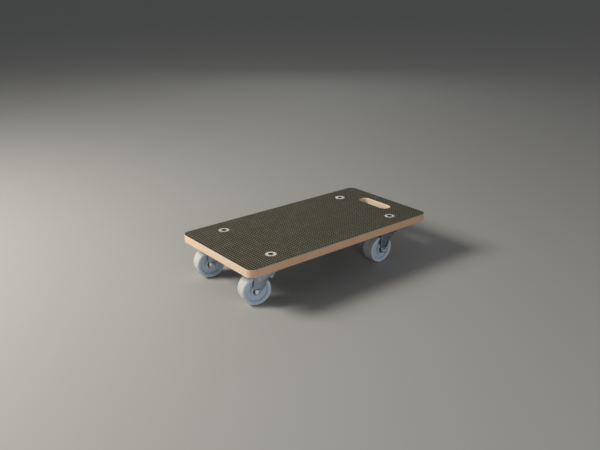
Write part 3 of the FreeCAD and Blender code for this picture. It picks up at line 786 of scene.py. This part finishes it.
# %% Smooth film
def smooth_film():
    film = Finish("smooth_film")
    grain = film.streaks((0.16, 0.006, 1.0), 4.0, 0.6)
    clouds = film.noise(0.05, 4.0)
    base = film.mix(grain, colour(50, 38, 31), colour(66, 51, 42))
    film.set(Base_Color=film.mix(clouds.between(0.5, 0.8) * 0.35, base, colour(96, 86, 75)))
    film.set(Roughness=0.3 + 0.22 * clouds)
    film.bump(grain, 0.00009, 0.4)
    return film


bottom_film = frame["nodes"]["bottom_film"]
bottom_film.data.materials.clear()
bottom_film.data.materials.append(smooth_film().material)
print("smooth film on the underside")

# %% [markdown]
# ## Metals
#
# Deck bolts are bright zinc: nearly white, with faint turning rings left by the lathe, tiny pits, brown
# grime where fingers and boots don't reach, and a socket painted dark inside, a painted shade. All four
# stand at the same distance from the deck's middle lines, so folding X and Y with an absolute value gives
# one radius that serves every head. Axle bolts, washers and nuts have the same finish, a little greyer.
# The pressed forks and cups are zinc-plated sheet, cloudier, with faint draw marks from the press. The
# pair under the hand slot is painted darker, a painted shade. The balls are polished and greasy.


# %% Bright zinc
def bright_zinc(name, radius_of, shine, darker, lighter):
    metal = Finish(name)
    radius = radius_of(metal)
    _, _, height = metal.home()
    below_rim = height.between(head_top - 0.08 * MM, head_top - 0.3 * MM)
    inside_mouth = radius.between(6.9 * MM, 6.7 * MM)
    above_shank = height.between(head_top - 7 * MM, head_top - 6 * MM)
    # These masks pick out the inside of the socket, which is painted dark blue-grey: a painted shade.
    painted_socket_shade = below_rim * inside_mouth * above_shank
    clouds = metal.noise(0.006, 4.0, 0.6)
    pits = metal.noise(0.0007, 3.0, 0.8)
    lathe = metal.maths("SINE", radius * (FULL_TURN / (0.55 * MM)), 0.0)
    grime = metal.noise(0.003, 5.0, 0.7).between(0.56, 0.78)
    base = metal.mix(clouds, darker, lighter)
    dirty = metal.mix(grime * 0.5, base, colour(128, 118, 104))
    metal.set(Base_Color=metal.mix(painted_socket_shade, dirty, colour(34, 42, 56)))
    metal.set(Metallic=shine - 0.3 * grime)
    metal.set(Roughness=0.3 + 0.14 * clouds + 0.2 * grime)
    metal.bump(pits * 0.7 + lathe * 0.15, 0.00003, 0.4)
    return metal


swivel_x, swivel_y, _ = joints["front_left_swivel_turn"]["pos_m"]


def from_bolt(metal):
    """Distance from the nearest deck bolt's axis."""
    x = metal.maths("ABSOLUTE", metal.x, 0.0) - swivel_x
    y = metal.maths("ABSOLUTE", metal.y, 0.0) - swivel_y
    return (x**2 + y**2) ** 0.5


def from_axle(finish):
    """Distance from the piece's own axis."""
    x, y, _ = finish.home()
    return (x**2 + y**2) ** 0.5


# %% Sheet, balls, nylon
def plated_sheet():
    metal = Finish("plated_sheet")
    clouds = metal.noise(0.014, 5.0, 0.6)
    drawn = metal.streaks((0.0009, 0.0009, 0.03), 4.0, 0.7)
    fine = metal.noise(0.0009, 3.0, 0.7)
    dull = metal.noise(0.008, 5.0, 0.65).between(0.5, 0.74)
    # The plating's blue is partly its own faint blue and partly a painted cool shade.
    bright = metal.mix(clouds.between(0.3, 0.7), colour(148, 158, 170), colour(176, 185, 194))
    # The forks, cups and tubes under the hand slot are painted darker: a painted shade.
    shaded_pair = metal.x.between(0.0, 120 * MM)
    base = metal.mix(shaded_pair * 0.5, bright, colour(84, 88, 94))
    metal.set(Base_Color=metal.mix(dull * 0.5, base, colour(126, 130, 136)))
    metal.set(Metallic=0.88 - 0.3 * dull)
    metal.set(Roughness=0.36 + 0.12 * drawn + 0.14 * dull)
    metal.bump(drawn * 0.6 + fine * 0.4, 0.00004, 0.45)
    return metal


def polished_steel():
    metal = Finish("polished_steel")
    grease = metal.noise(0.004, 3.0)
    metal.set(Base_Color=metal.mix(grease, colour(200, 200, 202), colour(158, 148, 132)))
    metal.set(Metallic=0.98 - 0.3 * grease)
    metal.set(Roughness=0.12 + 0.2 * grease)
    metal.bump(grease, 0.00002, 0.3)
    return metal


def nylon(name, darker, lighter):
    plastic = Finish(name)
    clouds = plastic.noise(0.005, 4.0)
    fine = plastic.noise(0.0006, 2.0)
    plastic.set(Base_Color=plastic.mix(clouds, darker, lighter))
    plastic.set(Roughness=0.42 + 0.16 * clouds)
    plastic.bump(fine, 0.00003, 0.35)
    return plastic


deck_zinc = bright_zinc("bright_zinc", from_bolt, 0.5, colour(226, 223, 214), colour(240, 238, 230))
axle_zinc = bright_zinc("axle_zinc", from_axle, 0.6, colour(184, 191, 200), colour(208, 214, 222))
sheet = plated_sheet()
steel = polished_steel()
white_nylon = nylon("white_nylon", colour(176, 172, 160), colour(206, 203, 192))
dark_nylon = nylon("dark_nylon", colour(52, 54, 58), colour(70, 72, 76))
print("metals and nylons")

# %% [markdown]
# ## Deck bolts, washers and lock nuts
#
# Each caster hangs from one countersunk M12 bolt. The head is a flat disc, about flush with the film,
# with a hexagon socket whose mouth is broken by a small chamfer and whose floor is drilled. The thread
# only shows where it leaves the lock nut, but there it catches the light, so it is a true helix: a
# wave round each ring that moves on with the height. No two bolts come to rest at the same angle.

# %% Threads
RINGS_A_TURN = 8


def thread(radius, pitch, depth, start, end):
    """Rings of screw thread from one height to another, running out at both ends."""
    count = round(abs(end - start) / pitch * RINGS_A_TURN)
    rings = []
    for step in range(count + 1):
        share = step / count
        fade = min(1.0, share * 6, (1 - share) * 6)
        height = start + (end - start) * share
        ring = []
        for point in circle_ring(1.0, height):
            turns = height / pitch - math.atan2(point.y, point.x) / FULL_TURN
            wave = abs(2 * (turns % 1.0) - 1)
            reach = radius - depth * fade * (1 - wave)
            ring.append(Vector((point.x * reach, point.y * reach, height)))
        rings.append(ring)
    return rings


# %% Deck bolts
BOLT = 6 * MM
SOCKET = 10 * MM
SOCKET_DEPTH = 5 * MM
SOCKET_CORNER = SOCKET / math.sqrt(3)
RESTS = {"front_left": 8, "front_right": 41, "rear_left": 19, "rear_right": 54}
bolt_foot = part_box("caster_bolts")[0].z
nut_low, nut_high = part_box("lock_nuts")


def at_swivel(corner, degrees):
    return swivel_place(corner) @ Matrix.Rotation(math.radians(degrees), 4, "Z")


def deck_bolt_rings():
    """From the middle of the socket's floor, over the head and down to the end of the thread."""
    floor_height = head_top - SOCKET_DEPTH
    rings = [
        circle_ring(0.4 * MM, floor_height - 0.9 * MM),
        circle_ring(4.4 * MM, floor_height),
        hex_ring(SOCKET, SOCKET_CORNER, floor_height + 0.1 * MM),
        hex_ring(SOCKET, SOCKET_CORNER, head_top - 0.9 * MM),
        circle_ring(SOCKET_CORNER + 0.1 * MM, head_top - 0.7 * MM),
        circle_ring(SOCKET_CORNER + 0.75 * MM, head_top - 0.06 * MM),
        circle_ring(SOCKET_CORNER + 0.85 * MM, head_top),
        circle_ring(HEAD - 0.45 * MM, head_top),
        circle_ring(HEAD - 0.13 * MM, head_top - 0.13 * MM),
        circle_ring(HEAD, head_top - 0.4 * MM),
        circle_ring(HEAD, head_top - HEAD_LAND),
        circle_ring(BOLT, head_top - HEAD_LAND - (HEAD - BOLT)),
    ]
    rings += thread(BOLT, 1.75 * MM, 0.9 * MM, nut_low.z + 4 * MM, bolt_foot + 1 * MM)
    rings.append(circle_ring(BOLT - 1.2 * MM, bolt_foot))
    return rings


bolts = Form()
for corner in CORNERS:
    bolts.skin(deck_bolt_rings(), at_swivel(corner, RESTS[corner]))
piece("deck_bolts", bolts.mesh, deck_zinc, "deck", ["caster_bolts"])

# %% Washers, lock nuts and their nylon rings
washers, nuts, inserts = Form(), Form(), Form()
washer_foot, washer_top = nut_high.z / MM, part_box("bolt_washers")[1].z / MM
nut_foot = nut_low.z / MM
NUT = 19 * MM
NUT_CORNER = NUT / math.sqrt(3)


def lock_nut_rings():
    """Round the wall of the nut: up the outside, over the top and back down the bore."""
    foot, top = nut_low.z, nut_high.z
    shoulder = foot + 3 * MM
    bore = BOLT + 0.02 * MM
    return [
        circle_ring(bore + 1.3 * MM, foot + 0.2 * MM),
        circle_ring(bore + 1.7 * MM, foot),
        circle_ring(8.2 * MM, foot),
        circle_ring(8.7 * MM, foot + 0.3 * MM),
        circle_ring(8.9 * MM, foot + 0.9 * MM),
        circle_ring(8.9 * MM, shoulder - 0.3 * MM),
        hex_ring(NUT, 9.25 * MM, shoulder),
        hex_ring(NUT, 10.1 * MM, shoulder + 0.45 * MM),
        hex_ring(NUT, NUT_CORNER, shoulder + 1.1 * MM),
        hex_ring(NUT, NUT_CORNER, top - 1.1 * MM),
        hex_ring(NUT, 10.1 * MM, top - 0.55 * MM),
        hex_ring(NUT, 9.3 * MM, top - 0.1 * MM),
        circle_ring(9.0 * MM, top),
        circle_ring(bore + 0.6 * MM, top),
        circle_ring(bore, top - 0.6 * MM),
        circle_ring(bore, foot + 2.6 * MM),
        circle_ring(bore + 1.3 * MM, foot + 2.6 * MM),
    ]


for corner in CORNERS:
    at = at_swivel(corner, 3 * RESTS[corner])
    nuts.skin(lock_nut_rings(), at, "joined")
    washer = [
        (6.5, washer_foot, 0.2), (12, washer_foot, 0.5), (12, washer_top, 0.3), (6.5, washer_top, 0.2)
    ]
    turn(washers, washer, at, FEW)
    insert = [
        (6.02, nut_foot + 0.5, 0.3), (7.3, nut_foot + 0.4, 0.2), (7.3, nut_foot + 2.6, 0),
        (6.02, nut_foot + 2.6, 0),
    ]
    turn(inserts, insert, at, FEW)
piece("washers", washers.mesh, axle_zinc, "deck", ["bolt_washers"])
piece("deck_lock_nuts", nuts.mesh, axle_zinc, "deck", ["lock_nuts"])
piece("nut_inserts", inserts.mesh, white_nylon, "deck")
print(*made[-4:])

# %% [markdown]
# ## Swivel heads
#
# Under the deck sits a pressed cup. Between it and the fork's crown runs a ring of balls, and below
# the crown a second ring runs on a small race that the kingpin sleeve holds up. The cup and the race
# are turned profiles with the soft corners that a press leaves, and the sleeve ends in a rolled foot.

# %% Cups, races and sleeves
CUP = [
    (6.5, 98, 0.3), (22.8, 98, 1.0), (23.6, 95.2, 0.6), (24, 90.1, 0.6), (22.2, 90.1, 0.5),
    (22.2, 93.5, 1.2), (13, 93.5, 0.6), (13, 95.8, 0.8), (6.5, 95.8, 0.3),
]
LOWER_RACE = [
    (8, 81, 0.3), (15.4, 81, 1.6), (16, 86.4, 0.4), (14.8, 86.4, 0.4), (14.8, 84, 0.8),
    (8, 84, 0.3),
]
SLEEVE = [
    (6.5, 79, 0.4), (11.5, 79, 0.8), (11.5, 81, 0.6), (8, 81, 0.6), (8, 95.8, 0.3), (6.5, 95.8, 0.3)
]
for corner in CORNERS:
    for name, profile, node in (
        ("head_cup", CUP, "head_cap"),
        ("lower_race_cup", LOWER_RACE, "lower_race"),
        ("sleeve", SLEEVE, "kingpin_sleeve"),
    ):
        cup = Form()
        turn(cup, profile, swivel_place(corner))
        stands_for = [f"{corner}_{node}"]
        piece(f"{corner}_{name}", cup.mesh, sheet, "deck", stands_for)
print(*made[-3:])


# %% Balls
def ball(form, radius, centre):
    """A ball as a stack of rings between two small flats."""
    bands = 14
    rings = []
    for k in range(bands + 1):
        tilt = math.pi * (0.02 + 0.96 * k / bands)
        rings.append(circle_ring(radius * math.sin(tilt), radius * math.cos(tilt), 24))
    form.skin(rings, Matrix.Translation(centre))


for corner in CORNERS:
    balls = Form()
    for count, radius, reach, height in ((16, 2.5, 15.5, 91.5), (14, 2.0, 11.8, 85.5)):
        for k in range(count):
            spot = Matrix.Rotation(FULL_TURN * k / count, 4, "Z") @ Vector((reach, 0, height))
            ball(balls, radius * MM, swivel_place(corner) @ (spot * MM))
    stands_for = [f"{corner}_upper_balls", f"{corner}_lower_balls"]
    body = f"{corner}_ball_rings"
    piece(f"{corner}_ball_set", balls.mesh, steel, body, stands_for, math.pi)
print("balls:", made[-1])

# %% [markdown]
# ## Forks
#
# A fork is one blank of sheet steel, cut and then bent over a block. The CAD solid has its shape and
# its bends, but the cut edges are knife sharp, which no press leaves. So the fork starts as a copy of
# the CAD mesh: flat areas are merged back into single faces, then every sharp edge gets a small
# bevel, which is what catches the light along a real one.


# %% Softening a copy of a CAD node
def softened(node, width):
    mesh = bmesh.new()
    mesh.from_mesh(frame["nodes"][node].data)
    bmesh.ops.remove_doubles(mesh, verts=mesh.verts, dist=0.002 * MM)
    flat = math.radians(1)
    bmesh.ops.dissolve_limit(mesh, angle_limit=flat, verts=mesh.verts, edges=mesh.edges)
    sharp = [edge for edge in mesh.edges if edge.calc_face_angle(0) > CRISP]
    bmesh.ops.bevel(
        mesh,
        geom=sharp,
        offset=width,
        offset_type="OFFSET",
        segments=2,
        profile=0.5,
        affect="EDGES",
        clamp_overlap=True,
    )
    return mesh


for corner in CORNERS:
    pressed = softened(f"{corner}_fork", 0.35 * MM)
    stands_for = [f"{corner}_fork"]
    piece(f"{corner}_pressed_fork", pressed, sheet, f"{corner}_swivel", stands_for)
print(*made[-4:])

# %% [markdown]
# ## Axle bolts and nuts
#
# A flanged M8 bolt goes through both legs. Its head is chamfered like any hexagon, and the flange
# slopes down to its rim. The nut on the other end lets a little over a turn of thread stand out.

# %% Axle bolt and nut
AXLE = 4 * MM
AXLE_FLATS = 13 * MM
AXLE_CORNER = AXLE_FLATS / math.sqrt(3)
LEG = 24 * MM


def hex_end(seat, end):
    """Rings of a flanged hexagon from its seat on the leg out to its chamfered end."""
    out = 1 if end > seat else -1
    return [
        circle_ring(7.8 * MM, seat),
        circle_ring(8.0 * MM, seat + out * 0.25 * MM),
        circle_ring(8.0 * MM, seat + out * 1.0 * MM),
        circle_ring(7.7 * MM, seat + out * 1.5 * MM),
        hex_ring(AXLE_FLATS, 7.35 * MM, seat + out * 2.2 * MM),
        hex_ring(AXLE_FLATS, AXLE_CORNER, seat + out * 2.7 * MM),
        hex_ring(AXLE_FLATS, AXLE_CORNER, end - out * 1.0 * MM),
        hex_ring(AXLE_FLATS, 6.95 * MM, end - out * 0.45 * MM),
        hex_ring(AXLE_FLATS, 6.4 * MM, end - out * 0.08 * MM),
        circle_ring(6.1 * MM, end),
    ]


def axle_bolt_rings():
    head_end = -LEG - 6.9 * MM
    middle = [circle_ring(4.6 * MM, head_end), circle_ring(4.2 * MM, head_end + 0.25 * MM)]
    middle.append(circle_ring(0.4 * MM, head_end + 0.3 * MM))
    rings = middle[::-1] + hex_end(-LEG, head_end)[::-1]
    rings.append(circle_ring(AXLE, -LEG))
    rings += thread(AXLE, 1.25 * MM, 0.65 * MM, LEG + 4 * MM, LEG + 8.8 * MM)
    rings.append(circle_ring(AXLE - 0.9 * MM, LEG + 9.6 * MM))
    return rings


def axle_nut_rings():
    bore = AXLE + 0.02 * MM
    end = LEG + 8.1 * MM
    inner = [circle_ring(bore + 0.5 * MM, end), circle_ring(bore, end - 0.5 * MM)]
    return hex_end(LEG, end) + inner + [circle_ring(bore, LEG)]


# %% [markdown]
# ## Wheels
#
# The wheel core is one moulding: rim, thin web and a hub that stands proud, with a recess for the
# bush. A grey rubber tyre is moulded over it. The rubber is slightly crowned, has a fine groove on its
# side where the mould split, and a step down to the rim. All of it is turned from profiles, because
# the corners are where moulded plastic shows its quality.

# %% Wheel profiles
CORE_HALF = [
    (31, 16, 0), (29.6, 16, 0.2), (29.3, 15.6, 0.2), (28.3, 15.6, 0.2), (27.9, 15.8, 0.2),
    (27.5, 15.2, 0.4), (27.3, 10.5, 1.6), (24.6, 10.5, 0.2), (24.3, 10.9, 0.2),
    (19.6, 10.9, 0.2), (19.3, 10.5, 0.2), (16, 10.5, 1.4), (15.6, 19, 0.9), (10.8, 19, 0.7),
    (10.8, 15, 0.3), (7.5, 15, 0),
]
TYRE_HALF = [
    (31, 16.2, 0), (31.2, 17.0, 0.2), (32, 17.8, 0.3), (33.6, 18, 0.2), (33.8, 17.75, 0.1),
    (34.2, 17.75, 0.1), (34.4, 18, 0.2), (37.3, 18, 3.8), (37.5, 4, 0), (37.5, 0.35, 0),
    (37.38, 0.15, 0),
]
BUSH = [
    (6.05, 3, 0.2), (7.5, 3, 0.2), (7.5, 15, 0), (10, 15, 0.2), (10, 16.2, 0.4), (6.05, 16.2, 0.3)
]
COLLAR = [(6.15, 16.5, 0.3), (9, 16.5, 0.6), (8.6, 21.5, 0.4), (6.15, 21.5, 0.3)]
AXLE_TUBE = [(4.1, -21.5, 0.2), (6, -21.5, 0.3), (6, 21.5, 0.3), (4.1, 21.5, 0.2)]


def flipped(profile):
    """The same profile on the other side of the wheel's middle."""
    return [(radius, -height, bend) for radius, height, bend in reversed(profile)]


# %% [markdown]
# Grey rubber picks up floor dust, so the tread is warmer and a little darker than the side, with
# scuffs that run round it. The side is painted a cooler blue-grey, a painted cool shade.
# The core is smooth plastic, painted a shade bluer and darker, its blue a painted cool shade, with fine
# rings from the turned mould and a film of dust in its corners.


# %% Rubber and moulded plastic
def grey_rubber():
    rubber = Finish("grey_rubber")
    radius = from_axle(rubber)
    _, _, across = rubber.home()
    tread = radius.between(35.2 * MM, 36.8 * MM)
    clouds = rubber.noise(0.012, 5.0, 0.65)
    fine = rubber.noise(0.0008, 3.0, 0.75)
    bands = rubber.noise(1.0, 3.0, 0.6, rubber.vector(radius * 900, across * 700, clouds * 1.5))
    marks = rubber.noise(0.005, 5.0, 0.7).between(0.55, 0.72)
    # The side's blue-grey is a painted cool shade on the wheel's face.
    side = rubber.mix(clouds.between(0.3, 0.7), colour(204, 214, 227), colour(220, 227, 237))
    worn = rubber.mix(bands.between(0.2, 0.8), colour(186, 188, 185), colour(210, 211, 207))
    base = rubber.mix(tread, side, worn)
    rubber.set(Base_Color=rubber.mix(marks * (0.12 + 0.3 * tread), base, colour(140, 136, 128)))
    rubber.set(Roughness=0.58 + 0.16 * tread + 0.08 * fine)
    rubber.bump(fine * 0.5 + bands * tread * 0.5, 0.00012, 0.5)
    return rubber


def moulded_grey():
    plastic = Finish("moulded_grey")
    radius = from_axle(plastic)
    clouds = plastic.noise(0.01, 4.0, 0.6)
    fine = plastic.noise(0.0007, 2.0, 0.6)
    rings = plastic.noise(1.0, 2.0, 0.6, plastic.vector(radius * 1500, 0.0, 0.0))
    dust = plastic.noise(0.004, 5.0, 0.7).between(0.5, 0.75)
    # The core's blue tint is a painted cool shade.
    base = plastic.mix(clouds, colour(182, 199, 216), colour(198, 213, 227))
    plastic.set(Base_Color=plastic.mix(dust * 0.3, base, colour(150, 148, 140)))
    plastic.set(Roughness=0.4 + 0.12 * clouds + 0.18 * dust)
    plastic.bump(rings * 0.6 + fine * 0.4, 0.00006, 0.4)
    return plastic


rubber, plastic = grey_rubber(), moulded_grey()

# %% The four wheels
for corner in CORNERS:
    at = axle_place(corner)
    swivel, wheel = f"{corner}_swivel", f"{corner}_wheel"
    bolt, nut, tube, collars, bushes, core, tyre = [Form() for _ in range(7)]
    turned_by = Matrix.Rotation(math.radians(30 + RESTS[corner]), 4, "Z")
    bolt.skin(axle_bolt_rings(), at @ turned_by)
    nut.skin(axle_nut_rings(), at @ Matrix.Rotation(math.radians(RESTS[corner]), 4, "Z"), "joined")
    turn(tube, AXLE_TUBE, at, FEW)
    for side in (COLLAR, flipped(COLLAR)):
        turn(collars, side, at, FEW)
    for side in (BUSH, flipped(BUSH)):
        turn(bushes, side, at, FEW)
    turn(core, CORE_HALF + flipped(CORE_HALF), at)
    turn(tyre, TYRE_HALF[::-1] + flipped(TYRE_HALF)[::-1], at)
    for name, form, finish, body, slot, node in (
        ("axle_screw", bolt, axle_zinc, swivel, "bright_fasteners", "axle_bolt"),
        ("flange_nut", nut, axle_zinc, swivel, "bright_fasteners", "axle_nut"),
        ("axle_tube", tube, sheet, swivel, "zinc_plated_steel", "axle_sleeve"),
        ("collars", collars, dark_nylon, swivel, "bush_plastic", "spacer_collars"),
        ("bushes", bushes, dark_nylon, wheel, "bush_plastic", "hub_bushes"),
        ("wheel_moulding", core, plastic, wheel, "wheel_plastic", "wheel_core"),
        ("rubber_tyre", tyre, rubber, wheel, "grey_tyre", "tyre"),
    ):
        piece(f"{corner}_{name}", form.mesh, finish, body, [f"{corner}_{node}"])
print(*made[-7:])

# %% [markdown]
# ## Face count
#
# The faces of all the new pieces are added up and printed.

# %% Count the faces
print("faces in all:", sum(count for _, count in made))
